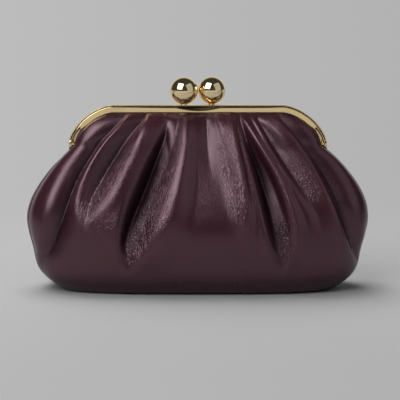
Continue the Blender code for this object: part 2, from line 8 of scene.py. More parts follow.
import bmesh
import bpy
import numpy as np
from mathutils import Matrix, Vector


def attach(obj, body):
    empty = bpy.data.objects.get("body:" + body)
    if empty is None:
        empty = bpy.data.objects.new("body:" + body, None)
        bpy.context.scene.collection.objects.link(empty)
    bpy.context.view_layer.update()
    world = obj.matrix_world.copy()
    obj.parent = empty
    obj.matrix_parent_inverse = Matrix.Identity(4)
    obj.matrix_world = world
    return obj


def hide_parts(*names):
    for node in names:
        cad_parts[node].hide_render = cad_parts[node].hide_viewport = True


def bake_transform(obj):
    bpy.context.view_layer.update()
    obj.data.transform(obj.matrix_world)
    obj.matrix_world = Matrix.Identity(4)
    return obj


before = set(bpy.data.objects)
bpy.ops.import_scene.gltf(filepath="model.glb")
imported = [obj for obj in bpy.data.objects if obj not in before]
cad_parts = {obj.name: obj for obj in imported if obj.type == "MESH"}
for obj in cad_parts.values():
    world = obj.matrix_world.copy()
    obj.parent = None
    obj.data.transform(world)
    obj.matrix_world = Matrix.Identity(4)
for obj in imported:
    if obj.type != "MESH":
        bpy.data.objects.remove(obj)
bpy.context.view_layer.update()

# Camera
# A long lens a little over a metre off and slightly above the clutch, as for a catalogue picture. The
# folds below are laid out as they show in that picture, so their places are given in its 400 pixels.
CAMERA_DISTANCE = 1.10
CAMERA_PITCH = math.radians(8.0)
PICTURE_WIDTH_AT_CLUTCH = 0.2816
PICTURE_CENTRE = Vector((0.0015, 0.0, 0.0619))
PICTURE_PIXELS = 400
SENSOR_WIDTH = 0.036

view_way = Vector((0.0, math.cos(CAMERA_PITCH), -math.sin(CAMERA_PITCH)))
view_up = Vector((0.0, math.sin(CAMERA_PITCH), math.cos(CAMERA_PITCH)))
camera_place = PICTURE_CENTRE - view_way * CAMERA_DISTANCE
focal_length = SENSOR_WIDTH * CAMERA_DISTANCE / PICTURE_WIDTH_AT_CLUTCH
camera_data = bpy.data.cameras.new("camera")
camera_data.sensor_width = SENSOR_WIDTH * 1000
camera_data.lens = focal_length * 1000
camera = bpy.data.objects.new("camera", camera_data)
camera.location = camera_place
camera.rotation_euler = (math.pi / 2 - CAMERA_PITCH, 0.0, 0.0)
bpy.context.scene.collection.objects.link(camera)
bpy.context.scene.camera = camera


def in_picture(x, y, z):
    """Where points show in the picture, in pixels from its upper left corner."""
    away_y = y - camera_place.y
    away_z = z - camera_place.z
    depth = away_y * view_way.y + away_z * view_way.z
    rise = away_y * view_up.y + away_z * view_up.z
    pixels = focal_length / SENSOR_WIDTH * PICTURE_PIXELS / depth
    return PICTURE_PIXELS / 2 + (x - camera_place.x) * pixels, PICTURE_PIXELS / 2 - rise * pixels


# Front and back leather
# Two skins of smooth dyed calf, 1.2 mm thick, each cut wide and gathered into the channel of its half
# frame. The gathers open below the frame into deep folds that die out in the rounded body. Each is one
# piece from frame to base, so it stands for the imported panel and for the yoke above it.
LEATHER = 0.0012
SKIN_COLUMNS = 300
SKIN_ROWS = 158
# The body's outline, level by level from the base to the hinge
HEIGHTS = (
    0.0004, 0.0027, 0.0098, 0.0177, 0.0293, 0.0410, 0.0516, 0.0622, 0.0728, 0.0835, 0.0913, 0.0970,
    0.1015,
)
HALF_WIDTHS = (
    0.0946, 0.0987, 0.1078, 0.1128, 0.1153, 0.1186, 0.1203, 0.1186, 0.1136, 0.1056, 0.0980, 0.0912,
    0.0854,
)
HALF_DEPTHS = (
    0.0280, 0.0327, 0.0371, 0.0392, 0.0407, 0.0409, 0.0396, 0.0366, 0.0325, 0.0283, 0.0252, 0.0229,
    0.0210,
)
SEAM_DEPTHS = (
    0.0095, 0.0105, 0.0110, 0.0110, 0.0105, 0.0100, 0.0090, 0.0080, 0.0068, 0.0056, 0.0048, 0.0043,
    0.0041,
)
SEAM_OFFSETS = (0.0, 0.0, 0.0, 0.0, 0.0, 0.0, 0.0, 0.0003, 0.0009, 0.0018, 0.0027, 0.0035, 0.0041)
LEFT_SLIMMING = (0.0, 0.0, 0.0, 0.0, 0.0, 0.0003, 0.0010, 0.0020, 0.0027, 0.0025, 0.0017, 0.0008, 0.0)
PLAN_POWERS = (3.2, 3.1, 3.0, 2.9, 2.75, 2.6, 2.5, 2.5, 2.5, 2.5, 2.5, 2.5, 2.5)
# The frame's arch, and how the leather runs into it
ARCH_HALF_WIDTH = 0.0903
ARCH_TOP = 0.1291
ARCH_STRAIGHT = 0.0590
ARCH_POWER = 1.65
HINGE_HEIGHT = 0.1016
LEATHER_BELOW_RIM = 0.00535
CHANNEL_BITE = 0.0012
SEAM_TURN_IN = 0.0015
MOUTH_DEPTH = 0.0042
SHOULDER_HEIGHTS = (0.1015, 0.1060, 0.1105, 0.1150, 0.1185, 0.1210, 0.1226, 0.1236, 0.12415)
SHOULDER_DEPTHS = (0.0210, 0.0189, 0.0163, 0.0133, 0.0104, 0.0080, 0.0061, 0.0049, 0.0042)
# Shares of the rows that are body and shoulder, and of the width between the seams
BODY_SHARE = 0.70
SHOULDER_SHARE = 0.975
SIDE_SHARE = 0.985
# The share of the folds that each side has, and how finely the shape is worked out
GATHERS = {"front": 1.0, "back": 0.9}
ARCH_POINTS = 900
ARCH_END = 0.0005
SLICE_POINTS = 1441
MOUTH_POWER_GAIN = 1.1
EASING_MIDDLE = BODY_SHARE + 0.02
EASING_SPREAD = 0.08
EASING_SIDES = (0.86, 0.99)
EASING_ROUNDS = 40
SOFTENING_ROUNDS = 9
# Where the folds may stand out: not at the base, in the channel or at the seams
FREE_HEIGHTS = (0.001, 0.012, 0.1180, 0.1225, 0.1238)
FREE_SHARES = (0.0, 1.0, 1.0, 0.55, 0.12)
FREE_SIDES = (0.93, 0.985)
# The hide: the size of a cut piece, the counts of its pores and wrinkles, colours and gloss, and the painted
# shade in the folds and at the foot
CUT_SIZE = (0.30, 0.165, 1.0)
PORES = 1100.0
WRINKLES = 760.0
CREST_COLOUR = (0.036, 0.0088, 0.0150, 1.0)
# Painted shade: the colour at the bottom of the folds, darker than the crest colour above
FOLD_SHADE_COLOUR = (0.010, 0.0028, 0.0046, 1.0)
GLOSS_ROUGHNESS = (0.24, 0.31)
# Painted shade towards the foot: below this height the colour darkens, down to this share
FOOT_HEIGHT = 0.020
FOOT_SHADE = 0.45
# Painted shade in the deepest folds: over these fold depths a dark matt coat comes in, up to this share, in
# this colour
DEEP_FOLD_SHADE = (-0.0078, -0.0028)
DEEP_FOLD_SHADE_SHARE = 0.86
DEEP_FOLD_SHADE_COLOUR = (0.011, 0.0045, 0.0065, 1.0)

# Height of the picture at which each fold's place and rise are given, from the frame to the base
FOLD_LEVELS = (112, 118, 128, 140, 155, 170, 185, 200, 215, 230, 245, 260, 272, 292)
# Each line: where it runs across the picture, how far it rises from the body's round in millimetres,
# and how sharply it breaks on its left and on its right, 0 for a round and 1 or more for a crease
FOLD_LINES = (
    ("left end", (0,) * 14, (0,) * 14, 0, 0),
    ("left lobe", (107, 103, 94, 84, 73, 63, 55, 48, 44, 41, 39.5, 36, 33, 31),
     (0.3, 0.5, 0.8, 1.0, 1.0, 1.0, 1.0, 1.0, 0.8, 0.6, 0.4, 0.2, 0, 0), 0, 0),
    ("left deep groove", (127, 123, 113, 101, 89.5, 79.5, 72, 66, 60.5, 55, 49.5, 41, 37, 35),
     (-0.3, -0.8, -2.2, -3.8, -5.2, -6.0, -6.5, -6.5, -6.2, -5.5, -4.5, -2.5, -0.5, 0), 1.4, 1.6),
    ("first left fold", (131, 127.5, 118.5, 107, 96.5, 88, 81.5, 77.5, 78.5, 79, 76, 68, 60, 55),
     (0.8, 1.2, 1.8, 2.2, 2.4, 2.5, 2.4, 2.0, 1.3, 0.6, 0.2, 0, 0, 0), 0.1, 0.6),
    ("first left hollow", (147, 145, 135, 125, 114.5, 105, 97, 90, 86.5, 85, 82, 75, 68, 62),
     (0, -0.6, -2.6, -4.2, -5.4, -5.4, -4.6, -3.0, -0.6, 0.2, 0.1, 0, 0, 0), 1.0, 1.3),
    ("second left fold", (149.5, 148, 144.5, 140.5, 134.5, 127.8, 120.5, 112, 99.5, 93, 90, 84, 78, 72),
     (1.2, 1.6, 2.3, 2.8, 3.1, 3.2, 3.0, 2.6, 1.6, 0.6, 0.2, 0, 0, 0), 0.1, 0.3),
    ("rim of the left hollow",
     (166, 165, 161.5, 156, 148.5, 141.5, 134.8, 128.2, 123, 119.8, 118.5, 120.5, 127, 131),
     (0.5, 0.6, 0.7, 0.6, 0.5, 0.4, 0.4, 0.5, 0.6, 0.7, 0.6, 0.4, 0.1, 0), 0.4, 1.2),
    ("left hollow", (170, 168.5, 166.5, 162.5, 156.5, 150.5, 144.5, 138, 132, 127, 124, 126, 129.5, 133),
     (0.2, -0.8, -3.2, -5.6, -7.6, -9.0, -9.7, -9.8, -9.3, -8.2, -6.4, -3.2, -0.4, 0), 1.3, 1.5),
    ("right wall of the left hollow",
     (179, 178.5, 177, 174.5, 169.5, 164, 158.5, 153, 148, 143.5, 139, 133, 131.5, 134),
     (0.4, -0.1, -1.2, -2.2, -2.9, -3.3, -3.6, -3.9, -4.0, -3.9, -3.3, -1.8, -0.2, 0), 0.7, 1.5),
    ("main left fold", (187, 187, 187, 186.5, 185, 182.5, 179.5, 175.5, 170.5, 164, 156.5, 145, 134, 136),
     (1.6, 2.0, 2.6, 3.2, 3.7, 4.0, 4.1, 4.0, 3.7, 3.3, 2.8, 1.8, 0.2, 0), 0.1, 0.2),
    ("flat middle", (196, 196, 196.5, 197, 197.5, 197.5, 197, 196, 194, 192, 189, 185, 182, 180),
     (0.3, 0.3, 0.2, 0.1, 0, 0, -0.1, -0.1, -0.1, 0, 0, 0, 0, 0), 0.3, 0.3),
    ("middle groove", (206, 206.5, 207, 207.5, 208.5, 210.5, 213.5, 217, 220, 222, 223, 224, 225, 225),
     (-0.2, -0.8, -1.6, -1.7, -1.1, -0.4, -0.1, 0, 0, 0, 0, 0, 0, 0), 1.3, 1.2),
    ("plateau", (211, 211.5, 212, 212.5, 214, 217, 220.5, 224, 227, 229, 231, 232, 233, 234),
     (0.1, 0, -0.1, -0.2, -0.2, 0, 0, 0, 0, 0, 0, 0, 0, 0), 0.9, 0.4),
    ("foot of the main right fold",
     (219, 219.5, 220.5, 222, 225, 228, 231, 233, 235, 236, 237, 238, 239, 240.5),
     (0.4, 0.6, 0.9, 1.1, 1.2, 1.2, 1.1, 0.9, 0.6, 0.3, 0.1, 0, 0, 0), 0.6, 1.0),
    ("main right fold", (231, 232.5, 234, 235.5, 238.5, 241.5, 244, 246, 247, 247.5, 248, 248, 248, 248),
     (1.4, 2.4, 3.8, 4.9, 5.8, 6.1, 5.8, 4.9, 3.5, 1.9, 0.6, 0.1, 0, 0), 0.7, 0.8),
    ("crease beside it", (234, 235, 237.5, 240, 243.5, 247.5, 250.5, 254, 257, 258.5, 260, 262, 264, 266),
     (0.6, 0.8, 1.0, 1.2, 1.3, 1.3, 1.2, 1.0, 0.7, 0.4, 0.2, 0.1, 0, 0), 0.3, 0.3),
    ("rim of the right hollow",
     (236, 237.3, 240, 243.2, 247.2, 251, 254.6, 258, 261.4, 265, 269, 274.5, 280, 284),
     (1.0, 1.4, 1.9, 2.2, 2.4, 2.5, 2.4, 2.2, 1.9, 1.6, 1.2, 0.7, 0.1, 0), 0.3, 0.9),
    ("right hollow", (238, 239.5, 242.5, 246.5, 252.5, 258.5, 263.5, 268, 271.5, 274.5, 277.5, 281, 283, 287),
     (0.2, -0.6, -2.6, -4.6, -6.6, -7.8, -8.3, -8.3, -7.8, -6.8, -5.2, -2.5, -0.3, 0), 1.3, 1.4),
    ("right wall of the right hollow",
     (239.5, 241, 245.5, 251.5, 259.5, 268, 275, 280.5, 285, 287.5, 287.5, 286, 285, 288),
     (0.4, 0, -0.8, -1.8, -3.0, -3.8, -4.2, -4.3, -4.2, -3.7, -2.8, -1.3, -0.1, 0), 0.8, 1.3),
    ("third right fold",
     (240.5, 242.5, 248, 255.5, 265, 274, 281.5, 288, 293.2, 296.5, 296.5, 291.5, 286.5, 290),
     (0.9, 1.2, 1.9, 2.5, 3.0, 3.2, 3.2, 3.0, 2.7, 2.4, 1.9, 1.0, 0.1, 0), 0.2, 0.3),
    ("dip after it", (248, 250, 256, 263, 272, 281, 290, 297, 304, 308, 309, 305, 302, 300),
     (0.3, 0.4, 0.6, 0.8, 1.0, 1.1, 0.9, 0.6, 0.3, 0.1, 0, 0, 0, 0), 0, 0.2),
    ("fourth right fold", (253, 254.8, 259.5, 265.8, 274.5, 283, 292, 301, 309.5, 315, 318, 318, 316, 312),
     (1.0, 1.3, 1.8, 2.1, 2.3, 2.3, 2.0, 1.5, 0.9, 0.4, 0.1, 0, 0, 0), 0.4, 1.3),
    ("fourth right hollow", (256, 257.5, 263, 270, 279.5, 289.5, 299.5, 309, 317, 322, 326, 328, 328, 326),
     (0, -0.8, -2.2, -3.0, -3.2, -2.8, -2.0, -1.0, -0.3, 0, 0, 0, 0, 0), 1.2, 1.0),
    ("last right fold", (271, 276, 286, 296.5, 307, 316.5, 324.5, 332, 338.5, 344.5, 349.5, 355.5, 359, 362),
     (1.0, 1.4, 2.0, 2.3, 2.5, 2.6, 2.6, 2.4, 2.1, 1.7, 1.3, 0.7, 0.1, 0), 0.3, 1.4),
    ("right deep groove", (275, 279.5, 289.5, 300, 311, 320.5, 329, 336.5, 343, 348.5, 353, 358, 361, 364),
     (0, -0.8, -2.0, -3.2, -4.5, -5.6, -6.2, -6.2, -5.8, -5.2, -4.0, -1.8, -0.2, 0), 1.5, 1.4),
    ("right lobe", (290, 297, 309, 321, 333, 343, 350, 355.5, 359, 361.5, 361.5, 362.5, 364, 367),
     (0.2, 0.3, 0.5, 0.8, 1.0, 1.0, 1.0, 1.0, 0.9, 0.8, 0.6, 0.2, 0, 0), 0, 0),
    ("right end", (400,) * 14, (0,) * 14, 0, 0),
)
# Short folds on top of those: (across, down, rise) along each, then its width to the left and right
SHORT_FOLDS = (
    (((167, 108, 1.2), (167.5, 118, 1.6), (168.5, 128, 2.0), (170, 140, 1.7),
      (171, 150, 0.7), (171, 160, 0.0)), 2.0, 9.0),
    (((216.5, 108, 0.5), (217.5, 118, 0.9), (220, 128, 1.0), (223, 140, 0.5), (226, 152, 0.0)), 1.5, 7.0),
    (((257, 110, 0.6), (260, 119, 1.3), (270, 127, 1.7), (280, 138, 1.3),
      (291, 152, 0.5), (300, 164, 0.0)), 3.5, 8.0),
    (((359.0, 205, 0.0), (359.8, 217, 0.5), (362, 231, 0.7), (362.6, 243, 0.5), (363, 252, 0.0)), 1.0, 1.6),
    (((49, 246, 0.0), (44, 256, 0.6), (40, 263, 0.5), (37, 268, 0.0)), 2.0, 3.0),
)
# Where the leather is finely wrinkled: across, down, how far each way, how strongly
WRINKLED = (
    (128, 152, 8, 9, 0.7), (120, 165, 9, 10, 0.8), (110, 180, 10, 10, 0.9), (99, 195, 10, 10, 1.0),
    (87, 208, 11, 9, 1.0), (176, 146, 6, 12, 0.7), (168, 168, 8, 14, 0.7), (158, 192, 9, 14, 0.8),
    (149, 214, 9, 14, 0.9), (140, 236, 9, 14, 0.9), (134, 256, 9, 11, 0.9), (164, 215, 9, 22, 0.5),
    (104, 228, 14, 14, 0.5), (75, 185, 12, 22, 0.4), (42, 262, 8, 8, 0.9), (226, 145, 10, 16, 0.7),
    (231, 168, 12, 18, 0.9), (237, 192, 10, 18, 0.9), (241, 214, 8, 12, 0.8), (287, 232, 10, 12, 0.9),
    (290, 250, 9, 12, 1.0), (281, 262, 9, 8, 0.7), (292, 165, 10, 8, 0.6), (302, 180, 12, 10, 0.8),
    (313, 192, 9, 8, 0.6), (268, 128, 8, 8, 0.4), (282, 176, 7, 14, 0.4), (350, 262, 8, 8, 0.5),
)


def through(places, values, at):
    """A smooth curve through the values, read at the given places."""
    places = np.asarray(places, float)
    values = np.asarray(values, float)
    slopes = np.gradient(values, places)
    index = np.clip(np.searchsorted(places, at) - 1, 0, len(places) - 2)
    span = places[index + 1] - places[index]
    t = np.clip((at - places[index]) / span, 0.0, 1.0)
    start = (2 * t**3 - 3 * t**2 + 1) * values[index] + (t**3 - 2 * t**2 + t) * span * slopes[index]
    stop = (3 * t**2 - 2 * t**3) * values[index + 1] + (t**3 - t**2) * span * slopes[index + 1]
    return start + stop


def fold_rise(across, down):
    """How far the leather rises from the round of the body at a place in the picture, in metres."""
    level = np.clip(down, FOLD_LEVELS[0], FOLD_LEVELS[-1])
    lines = [through(FOLD_LEVELS, line[1], level) for line in FOLD_LINES]
    rises = [through(FOLD_LEVELS, line[2], level) for line in FOLD_LINES]
    rise = np.zeros_like(across)
    for number in range(len(FOLD_LINES) - 1):
        left, right = lines[number], lines[number + 1]
        inside = (across >= left) & (across < right)
        t = (across - left) / np.maximum(right - left, 0.5)
        step = rises[number + 1] - rises[number]
        curve = 3 * t**2 - 2 * t**3
        curve = curve + (t**3 - 2 * t**2 + t) * FOLD_LINES[number][4]
        curve = curve + (t**3 - t**2) * FOLD_LINES[number + 1][3]
        rise = np.where(inside, rises[number] + step * curve, rise)
    for points, to_left, to_right in SHORT_FOLDS:
        line = through([point[1] for point in points], [point[0] for point in points], down)
        height = through([point[1] for point in points], [point[2] for point in points], down)
        height = np.where((down < points[0][1]) | (down > points[-1][1]), 0.0, height)
        off = across - line
        rise += height * np.exp(-((off / np.where(off < 0, to_left, to_right)) ** 2))
    return rise * 0.001


def wrinkle_share(across, down):
    """How finely wrinkled the leather is at a place in the picture, from 0 to 1."""
    share = np.zeros_like(across)
    for x, y, wide, high, strength in WRINKLED:
        near = np.exp(-(((across - x) / wide) ** 2) - ((down - y) / high) ** 2)
        share = np.maximum(share, strength * near)
    return share


def arch_edge(angle, inwards):
    """Points of the frame's arch, drawn in by inwards, and the way out from each.

    The angle runs from 0 at the hinge to 90 degrees at the corner of the straight top.
    """
    q = 2.0 / ARCH_POWER
    fine = np.linspace(ARCH_END, np.pi / 2 - ARCH_END, ARCH_POINTS)
    x = ARCH_STRAIGHT + (ARCH_HALF_WIDTH - ARCH_STRAIGHT) * np.cos(fine) ** q
    z = HINGE_HEIGHT + (ARCH_TOP - HINGE_HEIGHT) * np.sin(fine) ** q
    run_x, run_z = np.gradient(x), np.gradient(z)
    length = np.hypot(run_x, run_z)
    out_x, out_z = run_z / length, -run_x / length
    edge = (x - out_x * inwards, z - out_z * inwards, out_x, out_z)
    return [np.interp(angle, fine, values) for values in edge]


def eased(value, start, stop):
    """A smooth step from 0 at start to 1 at stop."""
    share = np.clip((value - start) / (stop - start), 0.0, 1.0)
    return share * share * (3.0 - 2.0 * share)


def body_at(share):
    """Height, half width, half depth, seam depth and offset, slimming and power at shares of the body."""
    tables = (HEIGHTS, HALF_WIDTHS, HALF_DEPTHS, SEAM_DEPTHS, SEAM_OFFSETS, LEFT_SLIMMING, PLAN_POWERS)
    return [through(np.arange(len(table)), table, share * (len(table) - 1)) for table in tables]


def skin_grid(columns, rows, inset, gathers, turned=False):
    """Points of the front skin, (rows, columns, 3), with the fold's rise and wrinkles at each.

    inset lies them that far behind the leather's face; gathers is the share of the folds they follow.
    turned is for the back, which is slimmer on its right as the front is on its left.
    """
    # What each row follows: the body up to the hinge, then the shoulder along the arch
    v = np.linspace(0.0, 1.0, rows)
    outline = body_at(np.clip(v / BODY_SHARE, 0, 1))
    height, half_width, half_depth, seam_depth, offset, slimming, power = outline
    shoulder = v > BODY_SHARE
    angle = np.clip((v - BODY_SHARE) / (SHOULDER_SHARE - BODY_SHARE), 0, 1) * np.pi / 2
    edge_x, edge_z, out_x, out_z = arch_edge(angle, LEATHER_BELOW_RIM)
    height = np.where(shoulder, edge_z, height)
    half_width = np.where(shoulder, edge_x, half_width)
    half_depth = np.where(shoulder, through(SHOULDER_HEIGHTS, SHOULDER_DEPTHS, edge_z), half_depth)
    mouth = np.interp(edge_z, SHOULDER_HEIGHTS[:2], (SEAM_DEPTHS[-1], MOUTH_DEPTH))
    seam_depth = np.where(shoulder, mouth, seam_depth)
    offset = np.where(shoulder, seam_depth, offset)
    slimming = np.where(shoulder, 0.0, slimming)
    power = np.where(shoulder, PLAN_POWERS[-1] + MOUTH_POWER_GAIN * angle / (np.pi / 2), power)
    bite = np.clip((v - SHOULDER_SHARE) / (1.0 - SHOULDER_SHARE), 0, 1) * CHANNEL_BITE

    # Each row is a flattened oval from seam to seam, its ends turned in or pressed into the channel
    side = np.linspace(-1.0, 1.0, columns)
    along = np.clip(side / SIDE_SHARE, -1, 1) / 2 + 0.5
    beyond = np.clip((np.abs(side) - SIDE_SHARE) / (1.0 - SIDE_SHARE), 0, 1)
    points = np.zeros((rows, columns, 3))
    for row in range(rows):
        e = 2.0 / power[row]
        deep = max(half_depth[row] - offset[row], 0.000001)
        last_turn = math.acos((max(seam_depth[row] - offset[row], 0.0) / deep) ** (1.0 / e))
        turns = np.linspace(-last_turn, last_turn, SLICE_POINTS)
        slimmed = half_width[row] - slimming[row] * ((turns > 0) if turned else (turns < 0))
        x = np.sign(turns) * np.abs(np.sin(turns)) ** e * slimmed
        y = -(offset[row] + deep * np.abs(np.cos(turns)) ** e)
        run = np.concatenate([[0.0], np.cumsum(np.hypot(np.diff(x), np.diff(y)))])
        run /= run[-1]
        points[row, :, 0] = np.interp(along, run, x)
        points[row, :, 1] = np.interp(along, run, y)
        points[row, :, 2] = height[row] + bite[row]
        if shoulder[row]:
            points[row, :, 0] += np.sign(side) * beyond * CHANNEL_BITE * out_x[row]
            points[row, :, 2] += beyond * CHANNEL_BITE * out_z[row]
        else:
            points[row, :, 0] -= np.sign(side) * beyond * SEAM_TURN_IN
            points[row, :, 1] += beyond * SEAM_TURN_IN * 0.4

    # The break between body and shoulder is eased, except near the seams
    nearness = np.exp(-(((v - EASING_MIDDLE) / EASING_SPREAD) ** 2))[:, None]
    easing = nearness * (1 - eased(np.abs(side), *EASING_SIDES))[None, :]
    for _ in range(int(EASING_ROUNDS * (rows / SKIN_ROWS) ** 2)):
        between = points[1:-1] * 0.5 + (points[:-2] + points[2:]) * 0.25
        points[1:-1] += (between - points[1:-1]) * easing[1:-1, :, None]

    # The folds are laid on, softened a little on their crests but not in their creases
    across, down = in_picture(points[..., 0], points[..., 1], points[..., 2])
    rise = fold_rise(across, down)
    wrinkles = wrinkle_share(across, down)
    for number in range(max(2, int(SOFTENING_ROUNDS * (columns / SKIN_COLUMNS) ** 2))):
        if number == 1:
            creased = rise.copy()
        rise[1:-1] = rise[1:-1] * 0.5 + (rise[:-2] + rise[2:]) * 0.25
        rise[:, 1:-1] = rise[:, 1:-1] * 0.5 + (rise[:, :-2] + rise[:, 2:]) * 0.25
    rise = np.minimum(rise, creased)
    free = np.interp(height, FREE_HEIGHTS, FREE_SHARES)[:, None]
    rise = rise * (free * np.interp(np.abs(side), FREE_SIDES, (1.0, 0.0))[None, :])
    moved = points + outward(points) * (rise * gathers - inset)[..., None]
    return moved, rise, wrinkles


def outward(points):
    """The unit normals of a grid of points, on its face."""
    normal = np.cross(np.gradient(points, axis=1), np.gradient(points, axis=0))
    return normal / np.maximum(np.linalg.norm(normal, axis=2, keepdims=True), 1e-12)


def grid_mesh(moved, marks, turned, thickness):
    """A sheet with its face through a grid of points and marks as its attributes; turned faces the back."""
    rows, columns = moved.shape[:2]
    inner = moved - outward(moved) * thickness
    bm = bmesh.new()
    bm.loops.layers.uv.new("UVMap")
    bmesh.ops.create_grid(bm, x_segments=columns - 1, y_segments=rows - 1, size=0.5, calc_uvs=True)
    layers = {mark: bm.verts.layers.float.new(mark) for mark in marks}
    bmesh.ops.solidify(bm, geom=bm.faces[:], thickness=1.0)
    for vert in bm.verts:
        column = round((vert.co.x + 0.5) * (columns - 1))
        row = round((vert.co.y + 0.5) * (rows - 1))
        x, y, z = inner[row, column] if vert.co.z < -0.5 else moved[row, column]
        vert.co = (-x, -y, z) if turned else (x, y, z)
        for mark, layer in layers.items():
            vert[layer] = float(marks[mark][row, column])
    return bm


def finished(name, bm, material, smooth=True):
    """The object made of a bmesh, in the scene."""
    mesh = bpy.data.meshes.new(name)
    bm.to_mesh(mesh)
    bm.free()
    if smooth:
        mesh.shade_smooth()
    mesh.materials.append(material)
    piece = bpy.data.objects.new(name, mesh)
    bpy.context.scene.collection.objects.link(piece)
    return piece


def new_material(name):
    """A material, its node tree and the shader in it."""
    material = bpy.data.materials.new(name)
    material.use_nodes = True
    return material, material.node_tree, material.node_tree.nodes["Principled BSDF"]


def wire(tree, made, numbered=None, **settings):
    """Set a shader node's options and sockets; a value that is another node's output is linked.

    A setting is named for its option or its socket. Sockets that share one name go by number.
    """
    for key, value in {**settings, **(numbered or {})}.items():
        socket = made.inputs[key] if isinstance(key, int) else made.inputs.get(key.replace("_", " "))
        if socket is None:
            setattr(made, key, value)
        elif isinstance(value, bpy.types.NodeSocket):
            tree.links.new(value, socket)
        else:
            socket.default_value = value
    return made


def node(tree, kind, numbered=None, **settings):
    """A new shader node, wired as above; kind is its type without the common first word."""
    return wire(tree, tree.nodes.new("ShaderNode" + kind), numbered, **settings)


def leather_material(name, worn):
    """Smooth aniline-dyed calf: fine pores, and wrinkles where it is worked.

    Its colour carries painted light and shade from the fold's rise: lighter on the crests, darker in the
    folds, darker towards the foot, and a dark matt coat mixed in at the bottom of a deep fold as painted
    shade.
    """
    material, tree, shader = new_material(name)
    place = node(tree, "TexCoord")
    flat = node(tree, "Mapping", Vector=place.outputs["UV"], Scale=CUT_SIZE)
    cloud = node(tree, "TexNoise", Vector=flat.outputs[0], Scale=60.0, Detail=4.0, Roughness=0.6)
    patch = node(tree, "TexNoise", Vector=flat.outputs[0], Scale=14.0, Detail=2.0)
    pore = node(tree, "TexVoronoi", Vector=flat.outputs[0], Scale=PORES, feature="DISTANCE_TO_EDGE")
    pull = node(tree, "Mapping", Vector=flat.outputs[0], Scale=(1.0, 0.42, 1.0), Rotation=(0.0, 0.0, 0.35))
    bend = node(tree, "TexNoise", Vector=pull.outputs[0], Scale=260.0, Detail=2.0)
    bent = node(tree, "VectorMath", {0: bend.outputs["Color"], 1: (0.0022, 0.0022, 0.0), 2: pull.outputs[0]},
                operation="MULTIPLY_ADD")
    crack = node(tree, "TexVoronoi", Vector=bent.outputs[0], Scale=WRINKLES, feature="DISTANCE_TO_EDGE")
    crack_line = node(tree, "MapRange", Value=crack.outputs["Distance"], From_Max=0.14)
    fold = node(tree, "Attribute", attribute_name="fold")
    wrinkled = node(tree, "Attribute", attribute_name="wrinkled")
    # Painted light and shade: the colour runs from the fold colour in the folds to the crest colour on the
    # crests
    deep = node(tree, "MapRange", Value=fold.outputs["Fac"], From_Min=-0.006, From_Max=0.003)
    fold_shaded_colour = node(tree, "ValToRGB", Fac=deep.outputs[0])
    for stop, colour in zip(fold_shaded_colour.color_ramp.elements, (FOLD_SHADE_COLOUR, CREST_COLOUR)):
        stop.color = colour
    shade = node(tree, "MapRange", Value=cloud.outputs[0], From_Min=0.3, From_Max=0.7,
                 To_Min=0.90, To_Max=1.12)
    # Painted shade: the colour darkens towards the foot
    corner = node(tree, "SeparateXYZ", Vector=place.outputs["Object"])
    painted_foot_shade = node(tree, "MapRange", Value=corner.outputs["Z"], interpolation_type="SMOOTHSTEP",
               From_Max=FOOT_HEIGHT, To_Min=FOOT_SHADE)
    shaded = node(tree, "Math", {0: shade.outputs[0], 1: painted_foot_shade.outputs[0]}, operation="MULTIPLY")
    coloured = node(tree, "VectorMath", {0: fold_shaded_colour.outputs[0]}, operation="SCALE", Scale=shaded.outputs[0])
    dull = node(tree, "MapRange", Value=patch.outputs[0], From_Min=0.3, From_Max=0.7,
                To_Min=GLOSS_ROUGHNESS[0] + worn, To_Max=GLOSS_ROUGHNESS[1] + worn)
    worked = node(tree, "Math", {0: wrinkled.outputs["Fac"], 1: 1.05, 2: 0.12}, operation="MULTIPLY_ADD")
    lines = node(tree, "Math", {0: crack_line.outputs[0], 1: worked.outputs[0]}, operation="MULTIPLY")
    coarse = node(tree, "Bump", Strength=0.60, Distance=0.00024, Height=lines.outputs[0])
    fine = node(tree, "Bump", Strength=0.22, Distance=0.00006, Height=pore.outputs["Distance"],
                Normal=coarse.outputs[0])
    wire(tree, shader, Base_Color=coloured.outputs[0], Roughness=dull.outputs[0], Normal=fine.outputs[0],
         Specular_IOR_Level=0.90, Specular_Tint=(1.0, 0.68, 0.78, 1.0))
    # Painted shade: a dark matt coat over the bottom of the deep folds
    deep_shade_mix = node(tree, "MapRange", Value=fold.outputs["Fac"], From_Min=DEEP_FOLD_SHADE[0], From_Max=DEEP_FOLD_SHADE[1],
                To_Min=DEEP_FOLD_SHADE_SHARE, To_Max=0.0)
    painted_shade_coat = node(tree, "BsdfDiffuse", Color=DEEP_FOLD_SHADE_COLOUR)
    mixed = node(tree, "MixShader", {0: deep_shade_mix.outputs[0], 1: shader.outputs[0], 2: painted_shade_coat.outputs[0]})
    wire(tree, tree.nodes["Material Output"], Surface=mixed.outputs[0])
    return material


calf = leather_material("wine_leather_calf", 0.0)
for word, turned in (("front", False), ("back", True)):
    face, rise, wrinkles = skin_grid(SKIN_COLUMNS, SKIN_ROWS, 0.0, GATHERS[word], turned)
    # The fold's rise is kept as the fold mark, which sets the painted light and shade of the leather's colour
    bm = grid_mesh(face, {"fold": rise, "wrinkled": wrinkles}, turned, LEATHER)
    skin = finished(f"{word}_leather", bm, calf)
    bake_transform(skin)
    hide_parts(f"{word}_panel", f"{word}_gathered_yoke")

